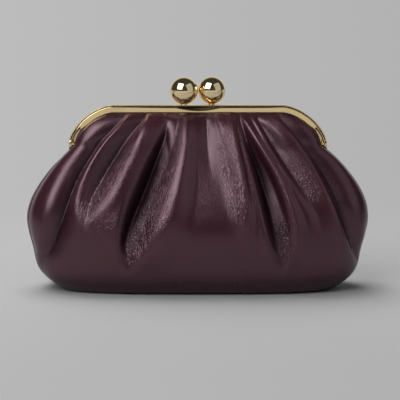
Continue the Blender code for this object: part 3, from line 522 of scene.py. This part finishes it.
# Gussets
# A leaf of the same calf at each end, sewn in between front and back. Its middle is pushed out a little on
# the left, where it shows past the front as a second edge, and lies folded in on the right.
GUSSET_ROWS = 120
GUSSET_COLUMNS = 40
GUSSET_TOP_SHARE = 0.905
GUSSET_BULGES = {"left": 0.0013, "right": -0.0030}
GUSSET_SEAM_SHARE = 0.84
GUSSET_SEAM_TURN_IN = 0.0018
GUSSET_TUCK = 0.0003
gusset_calf = leather_material("wine_leather_gusset", 0.04)
for word, hand in (("left", -1), ("right", 1)):
    up = np.linspace(0.0, 1.0, GUSSET_ROWS)
    height, half_width, half_depth, seam_depth, offset, slimming, power = body_at(up * GUSSET_TOP_SHARE)
    across = np.linspace(-1.0, 1.0, GUSSET_COLUMNS)
    depth = seam_depth[:, None] * across[None, :]
    beyond = np.clip((np.abs(depth) - offset[:, None]) / (half_depth - offset)[:, None], 0.0, 1.0)
    reach = half_width[:, None] * (1.0 - beyond ** power[:, None]) ** (1.0 / power[:, None])
    swell = (1.0 - across**2)[None, :] * np.minimum(eased(up, 0.0, 0.15), 1 - eased(up, 0.8, 1.0))[:, None]
    turned_in = GUSSET_SEAM_TURN_IN * eased(np.abs(across), GUSSET_SEAM_SHARE, 1.0)[None, :]
    leaf = np.zeros((GUSSET_ROWS, GUSSET_COLUMNS, 3))
    if word == "left":
        reach = reach - slimming[:, None]
    leaf[..., 0] = hand * (reach - turned_in + GUSSET_BULGES[word] * swell - GUSSET_TUCK)
    leaf[..., 1] = hand * depth
    leaf[..., 2] = height[:, None]
    # The bulge is the gusset's fold mark, so its colour takes the painted light and shade of the folds too
    marks = {"fold": GUSSET_BULGES[word] * swell, "wrinkled": 0.25 * swell}
    bm = grid_mesh(leaf, marks, False, LEATHER)
    gusset = finished(f"{word}_gusset_leather", bm, gusset_calf)
    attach(gusset, "bag")
    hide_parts(f"{word}_gusset")

# Base
# A separate sole of the same calf, its edge turned under and sewn to front, back and gussets. A bag board
# inside keeps it flat, so that the clutch stands by itself.
SOLE_POINTS = 160
# How far in from the outline of the front and back, and how high, from the underside round the edge
SOLE_EDGES = ((0.0018, 0.0), (0.0011, 0.00015), (0.0007, 0.0006), (0.0007, 0.0016))
bm = bmesh.new()
bm.loops.layers.uv.new("UVMap")
bmesh.ops.create_circle(bm, cap_ends=True, segments=SOLE_POINTS, radius=1.0, calc_uvs=True)
around = [math.atan2(vert.co.x, -vert.co.y) for vert in bm.verts]


def place_on_sole(verts, inwards, height):
    for vert, turn in zip(verts, around):
        e = 2.0 / PLAN_POWERS[0]
        across, deep = math.sin(turn), -math.cos(turn)
        x = math.copysign(abs(across) ** e, across) * (HALF_WIDTHS[0] - inwards)
        y = math.copysign(abs(deep) ** e, deep) * (HALF_DEPTHS[0] - inwards)
        vert.co = (x, y, height)


def drawn_out(bm, edges):
    """The vertices and edges of a new ring, extruded from a ring of edges."""
    grown = bmesh.ops.extrude_edge_only(bm, edges=edges)["geom"]
    ring = [part for part in grown if isinstance(part, bmesh.types.BMVert)]
    return ring, [part for part in grown if isinstance(part, bmesh.types.BMEdge)]


edges = bm.edges[:]
place_on_sole(bm.verts[:], *SOLE_EDGES[0])
for inwards, height in SOLE_EDGES[1:]:
    ring, edges = drawn_out(bm, edges)
    place_on_sole(ring, inwards, height)
bmesh.ops.contextual_create(bm, geom=edges)
bmesh.ops.recalc_face_normals(bm, faces=bm.faces)
sole_calf = leather_material("wine_leather_sole", 0.06)
sole = finished("base_leather", bm, sole_calf)
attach(sole, "bag")
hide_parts("base_panel")

# Interlining
# White pressed fleece laid on the back of the front and back leather, which follows every fold and keeps
# the gathers round. It ends short of the seams.
FLEECE = 0.0012
FLEECE_GAP = 0.0003
FLEECE_GRID = (151, 80)
FLEECE_ROWS = slice(5, 46)
FLEECE_COLUMNS = slice(5, 146)


def plain_material(name, colour, roughness):
    """Dull stuff of one colour with a faint cloudiness."""
    material, tree, shader = new_material(name)
    place = node(tree, "TexCoord")
    cloud = node(tree, "TexNoise", Vector=place.outputs["Object"], Scale=900.0, Detail=3.0)
    shade = node(tree, "MapRange", Value=cloud.outputs[0], To_Min=0.8, To_Max=1.2)
    coloured = node(tree, "VectorMath", {0: colour}, operation="SCALE", Scale=shade.outputs[0])
    rough = node(tree, "Bump", Strength=0.5, Distance=0.0001, Height=cloud.outputs[0])
    wire(tree, shader, Base_Color=coloured.outputs[0], Normal=rough.outputs[0], Roughness=roughness)
    return material


fleece = plain_material("interlining_fleece_felt", (0.62, 0.60, 0.56), 0.9)
for word, turned in (("front", False), ("back", True)):
    inner = skin_grid(*FLEECE_GRID, LEATHER + FLEECE_GAP, GATHERS[word], turned)[0]
    inner = inner[FLEECE_ROWS, FLEECE_COLUMNS]
    bm = grid_mesh(inner, {}, turned, FLEECE)
    pad = finished(f"{word}_fleece", bm, fleece)
    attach(pad, "bag")
    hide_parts(f"{word}_interlining")

# Lining
# Wine satin: a loose bag from the base up to the rim, and above it a strip on each side that is gathered
# into the channel of the half frame together with the leather.
LINING = 0.0005
LINING_GRID = (121, 80)
LINING_INSET = 0.0036
LINING_GATHERS = 0.85
LINING_COLUMNS = slice(2, 119)
LINING_FOOT_ROW = 3
LINING_WALL_ROW = 5
LINING_TOP_ROW = 56
LINING_FLOOR = 0.0041
LINING_FLOOR_INSET = 0.006
STRIP_INSET = LINING_INSET - 0.0010
STRIP_FOOT_ROW = 52
STRIP_COLUMNS = slice(3, 118)


def satin_material(name, colour):
    """A plain weave of fine shiny thread, with a soft cloudiness."""
    material, tree, shader = new_material(name)
    place = node(tree, "TexCoord")
    weave = node(tree, "TexWave", Vector=place.outputs["Object"], Scale=700.0, Distortion=0.6)
    cross = node(tree, "TexWave", Vector=place.outputs["Object"], Scale=520.0, bands_direction="Z")
    both = node(tree, "Math", {0: weave.outputs[1], 1: cross.outputs[1]}, operation="ADD")
    cloud = node(tree, "TexNoise", Vector=place.outputs["Object"], Scale=90.0, Detail=2.0)
    shade = node(tree, "MapRange", Value=cloud.outputs[0], To_Min=0.8, To_Max=1.25)
    coloured = node(tree, "VectorMath", {0: colour}, operation="SCALE", Scale=shade.outputs[0])
    threads = node(tree, "Bump", Strength=0.3, Distance=0.00005, Height=both.outputs[0])
    wire(tree, shader, Base_Color=coloured.outputs[0], Normal=threads.outputs[0], Roughness=0.5,
         Sheen_Weight=0.4)
    return material


satin = satin_material("lining_cloth_satin", (0.085, 0.030, 0.042))
half_ring = skin_grid(*LINING_GRID, LINING_INSET, LINING_GATHERS)[0][:, LINING_COLUMNS]
bm = bmesh.new()
bmesh.ops.create_circle(bm, cap_ends=True, segments=2 * half_ring.shape[1], radius=1.0)
order = sorted(bm.verts, key=lambda vert: math.atan2(vert.co.x, -vert.co.y))
order = order[-(len(order) // 4):] + order[:-(len(order) // 4)]
places = {vert.index: number for number, vert in enumerate(order)}
numbers = [places[vert.index] for vert in bm.verts]


def place_lining(verts, row, floor_height=None, margin=0.0):
    whole = np.vstack([half_ring[row], half_ring[row] * (-1.0, -1.0, 1.0)])
    for vert, number in zip(verts, numbers):
        x, y, z = whole[(number + len(whole) // 2) % len(whole)]
        size = math.hypot(x, y)
        z = z if floor_height is None else floor_height
        vert.co = (x - x / size * margin, y - y / size * margin, z)


edges = bm.edges[:]
place_lining(bm.verts[:], LINING_FOOT_ROW, LINING_FLOOR, LINING_FLOOR_INSET)
for row in [LINING_FOOT_ROW, *range(LINING_WALL_ROW, LINING_TOP_ROW)]:
    ring, edges = drawn_out(bm, edges)
    place_lining(ring, row)
bmesh.ops.recalc_face_normals(bm, faces=bm.faces)
lining_area = sum(face.calc_area() for face in bm.faces)
bmesh.ops.solidify(bm, geom=bm.faces[:], thickness=LINING)
lining_bag = finished("lining_bag_satin", bm, satin)
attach(lining_bag, "bag")
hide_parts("lining_bag")

for word, turned in (("front", False), ("back", True)):
    strip = skin_grid(*LINING_GRID, STRIP_INSET, LINING_GATHERS, turned)[0][STRIP_FOOT_ROW:, STRIP_COLUMNS]
    bm = grid_mesh(strip, {}, turned, LINING)
    lining = finished(f"{word}_lining_strip", bm, satin)
    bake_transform(lining)
    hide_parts(f"{word}_yoke_lining")

# Half frames
# Brass strip rolled to a channel and bent to an arch, gold-plated and polished: a flat rim, a fine groove,
# then a flat band that narrows down the arms, cut lower as a seat below the balls. Groove, seat and the
# band's inner half on the arms are a dark gold, as painted shade. A lug in each arm takes the hinge rivet,
# an ear covers it.
FRAME_TURN = 0.0051
CORNER_STATIONS = 70
# The channel's section in millimetres: inwards from the outer edge, and away from the parting plane
SECTION = (
    (5.10, 0.15), (0.20, 0.15), (0.06, 0.18), (0.0, 0.28), (0.0, 5.13), (0.02, 5.18), (0.07, 5.20),
    (0.46, 5.20), (0.50, 5.18), (0.52, 5.12), (0.54, 4.25), (0.66, 4.08), (0.98, 4.08), (1.08, 4.25),
    (1.11, 4.93), (1.16, 4.98), (1.50, 5.00), (2.10, 5.01), (2.50, 5.02), (3.00, 5.02), (3.50, 5.02),
    (4.00, 5.01), (4.50, 5.00), (4.86, 4.97), (5.00, 4.88), (5.08, 4.70), (5.06, 4.45), (4.95, 4.30),
    (1.50, 4.00), (1.10, 3.80), (0.92, 3.60), (0.90, 0.95), (0.98, 0.83), (1.20, 0.75), (5.10, 0.75),
)
# Where rim, groove and band meet on the face of the section, and how they change down the arms
FACE_DEPTH = 0.002
BAND_DEPTH = 0.0038
BAND_TOP = 0.00112
GROOVE_START = 0.00051
ARM_RIM_GROWTH = 0.3
# The lower seat below the balls, and the arms
FACET_HALF_WIDTH = 0.0152
FACET_HEIGHT = 0.0026
FACET_SLOPE = 0.45
ARM_NARROW = (0.1110, 0.1195)
ARM_BAND_LOSS = 0.38
# Painted shade on the arms: the band's inner half, from this far in to this far, is dark gold
ARM_SHADE = (0.0016, 0.0044)
ARM_FOOT = 0.0018
# Half the gap between the two half frames at the hinge, then the lugs and the ears
PARTING = 0.0003
LUG_RADIUS = 0.0028
LUG_THICKNESS = 0.0020
LUG_HOLE = 0.0013
LUG_POINTS = 48
LUG_OUTERS = {"front": 0.0884, "back": 0.0860}
LUG_NECK_SLOPE = 1.5
LUG_NECK = 0.0022
LUG_REACH = 2.05
EAR_RADIUS = 0.00525
EAR_HOLE = 0.0023
EAR_SIDES = (0.0887, 0.0902)
EAR_CORNERS = [(PARTING, 0.0036), (0.0043, 0.0036), (0.0049, 0.0030), (EAR_RADIUS, 0.0016)]
EAR_ROUND = np.radians((0, 12, 24, 36, 45))
EAR_HOLE_ROUND = np.radians(np.linspace(-45, 86, 20))
EAR_BEVEL = 0.0003


def gold_material(name, light, dark):
    """Gold plate polished to a mirror, with hairlines and a little haze from handling."""
    material, tree, shader = new_material(name)
    place = node(tree, "TexCoord")
    haze = node(tree, "TexNoise", Vector=place.outputs["Object"], Scale=70.0, Detail=3.0)
    dull = node(tree, "MapRange", Value=haze.outputs[0], From_Min=0.35, From_Max=0.75,
                To_Min=0.05, To_Max=0.13)
    tone = node(tree, "Mix", {6: light, 7: dark}, data_type="RGBA", Factor=haze.outputs[0])
    stretch = node(tree, "Mapping", Vector=place.outputs["Object"], Scale=(0.05, 1.0, 1.0))
    hair = node(tree, "TexNoise", Vector=stretch.outputs[0], Scale=2600.0, Detail=1.0)
    lines = node(tree, "Bump", Strength=0.01, Distance=0.000005, Height=hair.outputs[0])
    wire(tree, shader, Base_Color=tone.outputs[2], Roughness=dull.outputs[0], Normal=lines.outputs[0],
         Metallic=1.0)
    return material


gold = gold_material("polished_gold_plate", (0.93, 0.72, 0.40, 1.0), (0.90, 0.68, 0.35, 1.0))
# Dark gold for painted shade in the groove, the seat below the balls and the band's inner half on the arms
painted_shade_gold, tree, seat_shader = new_material("gold_with_painted_shade")
place = node(tree, "TexCoord")
shade_cloud = node(tree, "TexNoise", Vector=place.outputs["Object"], Scale=500.0, Detail=3.0)
shade_tone = node(tree, "Mix", {6: (0.030, 0.018, 0.008, 1.0), 7: (0.070, 0.045, 0.020, 1.0)}, data_type="RGBA",
              Factor=shade_cloud.outputs[0])
seat_grain = node(tree, "Bump", Strength=0.1, Distance=0.00001, Height=shade_cloud.outputs[0])
seat_rough = node(tree, "MapRange", Value=shade_cloud.outputs[0], To_Min=0.25, To_Max=0.40)
wire(tree, seat_shader, Base_Color=shade_tone.outputs[2], Roughness=seat_rough.outputs[0],
     Normal=seat_grain.outputs[0], Metallic=1.0)
low_angle = math.asin((ARM_FOOT / (ARCH_TOP - HINGE_HEIGHT)) ** (ARCH_POWER / 2.0))
corner = np.linspace(low_angle, math.pi / 2, CORNER_STATIONS)
arch_x, arch_z, out_x, out_z = arch_edge(corner, 0.0)
arch_stations = [(-x, z, -ox, oz) for x, z, ox, oz in zip(arch_x, arch_z, out_x, out_z)]
arch_stations += [(x, ARCH_TOP, 0.0, 1.0) for x in np.linspace(-FACET_HALF_WIDTH, FACET_HALF_WIDTH, 19)]
arch_stations += [(x, z, ox, oz) for x, z, ox, oz in reversed(list(zip(arch_x, arch_z, out_x, out_z)))]
for word, side in (("front", -1), ("back", 1)):
    bm = bmesh.new()
    shade_marks = bm.verts.layers.float.new("shade_marks")
    bmesh.ops.create_circle(bm, cap_ends=True, segments=len(SECTION), radius=1.0)
    order = {vert.index: number for number, vert in enumerate(bm.verts)}
    face = bm.faces[:][0]
    cut = [order[vert.index] for vert in face.verts]
    for number, (x, z, ox, oz) in enumerate(arch_stations):
        if number:
            grown = bmesh.ops.extrude_face_region(
                bm, geom=[face, *face.edges], use_keep_orig=number == 1)["geom"]
            face = next(part for part in grown if isinstance(part, bmesh.types.BMFace))
        narrow = 1.0 - float(eased(z, *ARM_NARROW))
        width = 1.0 - ARM_BAND_LOSS * narrow
        rim = BAND_TOP * (1.0 + ARM_RIM_GROWTH * narrow)
        facet = FACET_HEIGHT * max(0.0, 1.0 - (x / FACET_HALF_WIDTH) ** 2)
        for vert, place in zip(face.verts, cut):
            inwards, away = SECTION[place][0] * 0.001, SECTION[place][1] * 0.001
            if away > BAND_DEPTH and inwards > BAND_TOP:
                seated = max(0.0, BAND_TOP + facet - inwards)
                away -= seated * FACET_SLOPE
                # The seat and the band's inner half on the arms are marked for painted shade
                shaded = narrow > 0.5 and ARM_SHADE[0] < inwards < ARM_SHADE[1]
                vert[shade_marks] = seated + float(shaded)
            # The groove is marked for painted shade
            elif away > BAND_DEPTH and inwards > GROOVE_START:
                vert[shade_marks] = 1.0
            if away > FACE_DEPTH and inwards < BAND_TOP:
                inwards *= rim / BAND_TOP
            elif away > FACE_DEPTH:
                inwards = rim + (inwards - BAND_TOP) * (FRAME_TURN * width - rim) / (FRAME_TURN - BAND_TOP)
            vert.co = (x - ox * inwards, side * away, z - oz * inwards)
    for hand in (-1, 1):
        loops = []
        for x in (LUG_OUTERS[word], LUG_OUTERS[word] - LUG_THICKNESS):
            for radius in (LUG_RADIUS, LUG_HOLE):
                circle = bmesh.ops.create_circle(bm, segments=LUG_POINTS, radius=radius)["verts"]
                for vert in circle:
                    up, away = vert.co.x, vert.co.y
                    if radius == LUG_RADIUS and up > 0.0:
                        away = math.copysign(max(abs(away), min(up * LUG_NECK_SLOPE, LUG_NECK)), away)
                        away = max(away, PARTING)
                        up = up * LUG_REACH
                    vert.co = (hand * x, side * away, HINGE_HEIGHT + up)
                loops.append(list({edge for vert in circle for edge in vert.link_edges}))
        for first, second in ((0, 1), (1, 3), (3, 2), (2, 0)):
            bmesh.ops.bridge_loops(bm, edges=loops[first] + loops[second])
        outline = EAR_CORNERS[:]
        outline += [(EAR_RADIUS * math.cos(turn), -EAR_RADIUS * math.sin(turn)) for turn in EAR_ROUND]
        outline += [(EAR_HOLE * math.cos(turn), EAR_HOLE * math.sin(turn)) for turn in EAR_HOLE_ROUND]
        ear = [bm.verts.new((hand * EAR_SIDES[0], side * away, HINGE_HEIGHT + up)) for away, up in outline]
        ear_face = bm.faces.new(ear)
        grown = bmesh.ops.extrude_face_region(
            bm, geom=[ear_face, *ear_face.edges], use_keep_orig=True)["geom"]
        top = [part for part in grown if isinstance(part, bmesh.types.BMVert)]
        for vert in top:
            vert.co.x = hand * min(EAR_SIDES[1], float(np.interp(vert.co.z, arch_z, arch_x)))
        rims = {edge for vert in top for edge in vert.link_edges if edge.other_vert(vert) in top}
        bmesh.ops.bevel(bm, geom=list(rims), offset=EAR_BEVEL, segments=2, profile=0.5, affect="EDGES",
                        material=-1)
    bmesh.ops.recalc_face_normals(bm, faces=bm.faces)
    # Faces marked for painted shade take the dark gold
    for part in bm.faces:
        part.material_index = int(sum(vert[shade_marks] > 0.0 for vert in part.verts) >= 3)
    half_frame = finished(f"{word}_frame_plate", bm, gold)
    half_frame.data.materials.append(painted_shade_gold)
    half_frame.data.set_sharp_from_angle(angle=math.radians(50))
    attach(half_frame, f"{word}_half")
    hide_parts(f"{word}_half_frame")

# Balls
# The kiss lock: two turned brass balls on short necks, gold-plated like the frame, one on each half. A
# post through the top of the channel, peened below, holds each.
BALL_RADIUS = 0.00975
BALL_CENTRE_HEIGHT = 0.13915
BALL_OFFSETS = {"front": (-0.0097, -0.0027), "back": (0.0097, 0.0027)}
NECK_RADIUS = 0.0021
NECK_FOOT = ARCH_TOP + 0.00006 - BALL_CENTRE_HEIGHT
NECK_TURN = math.pi - math.asin(NECK_RADIUS / BALL_RADIUS)


def turned_piece(name, points, axis, steps, centre, material):
    """A piece turned on a lathe: its profile spun round an axis, then set in its place."""
    bm = bmesh.new()
    profile = [bm.verts.new(point) for point in points]
    lines = [bm.edges.new(pair) for pair in zip(profile, profile[1:])]
    bmesh.ops.spin(bm, geom=profile + lines, axis=axis, cent=(0, 0, 0), angle=math.tau, steps=steps,
                   use_merge=True)
    bmesh.ops.remove_doubles(bm, verts=bm.verts, dist=0.000001)
    bmesh.ops.recalc_face_normals(bm, faces=bm.faces)
    bmesh.ops.translate(bm, verts=bm.verts, vec=centre)
    piece = finished(name, bm, material)
    piece.data.set_sharp_from_angle(angle=math.radians(40))
    return piece


ball_gold = gold_material("polished_gold_ball", (0.93, 0.76, 0.47, 1.0), (0.90, 0.72, 0.42, 1.0))
ball_profile = [(0.0, 0.0, BALL_RADIUS)]
ball_profile += [(BALL_RADIUS * math.sin(turn), 0.0, BALL_RADIUS * math.cos(turn))
                 for turn in np.linspace(0.0, NECK_TURN, 49)[1:]]
ball_profile += [(NECK_RADIUS, 0.0, NECK_FOOT), (0.0, 0.0, NECK_FOOT)]
for word in ("front", "back"):
    centre = (*BALL_OFFSETS[word], BALL_CENTRE_HEIGHT)
    ball = turned_piece(f"{word}_ball_polished", ball_profile, (0, 0, 1), 96, centre, ball_gold)
    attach(ball, f"{word}_half")
    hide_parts(f"{word}_ball")

# Hinge rivets
# A domed brass rivet through both lugs at each end of the arch, gold-plated and peened over on the
# inside. Both half frames turn on it.
RIVET_PROFILE = (
    (0.08975, 0.0), (0.08970, 0.0007), (0.08955, 0.0013), (0.08925, 0.0018), (0.08890, 0.0020),
    (0.08872, 0.0020), (0.08872, 0.0010), (0.0837, 0.0010), (0.0837, 0.0020), (0.0834, 0.0019),
    (0.0830, 0.0013), (0.0829, 0.0),
)
for word, hand in (("left", -1), ("right", 1)):
    points = [(hand * x, radius, 0.0) for x, radius in RIVET_PROFILE]
    rivet = turned_piece(f"{word}_rivet", points, (1, 0, 0), 40, (0.0, 0.0, HINGE_HEIGHT), gold)
    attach(rivet, "bag")
    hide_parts(f"{word}_hinge_rivet")

# Hidden pieces
# The ball posts, the twisted paper cords pressed into the channels to hold the leather there, and the bag
# board in the base stay as packed. They only get their materials.
kraft = plain_material("paper_cord_kraft", (0.60, 0.48, 0.32), 0.9)
stuffs = {
    "front_ball_post": gold, "back_ball_post": gold, "front_paper_cord": kraft, "back_paper_cord": kraft,
    "base_board": plain_material("base_board_grey", (0.42, 0.34, 0.24), 0.85),
}
for name, stuff in stuffs.items():
    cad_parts[name].data.materials.clear()
    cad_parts[name].data.materials.append(stuff)

# Floor and backdrop
# Seamless grey paper. Near the clutch it takes the light and the shadow; farther back and in front of the
# picture it shines evenly, as a backdrop with its own lamps does.
FLOOR_HALF_SIZE = 40.0
PAPER_FROM, PAPER_TO = -0.25, 0.05
PAPER_TONES = (0.310, 0.338)
BACKDROP_START = 0.16
BACKDROP_END = 0.60
FRONT_START = 0.45
FRONT_END = 0.90
FRONT_STRENGTH = 0.56
BACKDROP_SLOPE = 0.13
BACKDROP_STRENGTHS = (0.500, 0.445)
WHITE = (1.0, 1.0, 1.0, 1.0)
floor_material, tree, paper = new_material("grey_paper")
place = node(tree, "TexCoord")
split = node(tree, "SeparateXYZ", Vector=place.outputs["Object"])
tone = node(tree, "MapRange", Value=split.outputs["Y"], From_Min=PAPER_FROM, From_Max=PAPER_TO,
            To_Min=PAPER_TONES[0], To_Max=PAPER_TONES[1])
wire(tree, paper, Roughness=0.9, Specular_IOR_Level=0.1, Base_Color=tone.outputs[0])
near = node(tree, "MapRange", Value=split.outputs["Y"], interpolation_type="SMOOTHSTEP",
            From_Min=-FRONT_END, From_Max=-FRONT_START)
front_glow = node(tree, "Emission", Strength=FRONT_STRENGTH, Color=WHITE)
paper_and_front = node(tree, "MixShader", {0: near.outputs[0], 1: front_glow.outputs[0], 2: paper.outputs[0]})
far = node(tree, "MapRange", Value=split.outputs["Y"], interpolation_type="SMOOTHSTEP",
           From_Min=BACKDROP_START, From_Max=BACKDROP_END)
distance = node(tree, "Math", {0: split.outputs["Y"], 1: CAMERA_DISTANCE}, operation="ADD")
bearing = node(tree, "Math", {0: split.outputs["X"], 1: distance.outputs[0]}, operation="DIVIDE")
fall = node(tree, "MapRange", Value=bearing.outputs[0], From_Min=-BACKDROP_SLOPE, From_Max=BACKDROP_SLOPE,
            To_Min=BACKDROP_STRENGTHS[0], To_Max=BACKDROP_STRENGTHS[1])
glow = node(tree, "Emission", Strength=fall.outputs[0], Color=WHITE)
both = node(tree, "MixShader", {0: far.outputs[0], 1: paper_and_front.outputs[0], 2: glow.outputs[0]})
wire(tree, tree.nodes["Material Output"], Surface=both.outputs[0])
bm = bmesh.new()
bmesh.ops.create_grid(bm, x_segments=2, y_segments=2, size=FLOOR_HALF_SIZE)
floor = finished("floor", bm, floor_material, smooth=False)

# Lights
# A big softbox on the front left makes the long highlights on the folds, and a weak panel on the front right
# fills. A lamp overhead throws the soft shadow forward and stays out of the reflections. The surround is
# dark in front, which keeps the folds dark, and bright behind, as the backdrop is.
SURROUND_FRONT = 0.045
SURROUND_BEHIND = 0.62
AIM = Vector((0.0, 0.0, 0.06))
world = bpy.data.worlds.new("studio")
world.use_nodes = True
tree = world.node_tree
around = node(tree, "TexCoord")
bearing = node(tree, "SeparateXYZ", Vector=around.outputs["Generated"])
behind = node(tree, "MapRange", Value=bearing.outputs["Y"], interpolation_type="SMOOTHSTEP", From_Min=0.45,
              From_Max=0.80, To_Min=SURROUND_FRONT, To_Max=SURROUND_BEHIND)
wire(tree, tree.nodes["Background"], Strength=behind.outputs[0], Color=WHITE)
bpy.context.scene.world = world
# Each lamp's place, size and power in watts
for word, place, size, power in (
    ("softbox", (-0.84, -1.12, 1.18), (1.30, 1.50), 25.5),
    ("overhead", (-0.40, 0.55, 1.75), (1.3, 1.3), 39.0),
    ("panel", (1.25, -0.85, 0.90), (1.7, 1.7), 3.8),
):
    lamp = bpy.data.lights.new(word, "AREA")
    lamp.shape = "RECTANGLE"
    lamp.size, lamp.size_y = size
    lamp.energy = power
    light = bpy.data.objects.new(word, lamp)
    light.location = place
    light.visible_glossy = word != "overhead"
    light.rotation_euler = (AIM - Vector(place)).to_track_quat("-Z", "Y").to_euler()
    bpy.context.scene.collection.objects.link(light)

bpy.context.scene.view_settings.view_transform = "Standard"
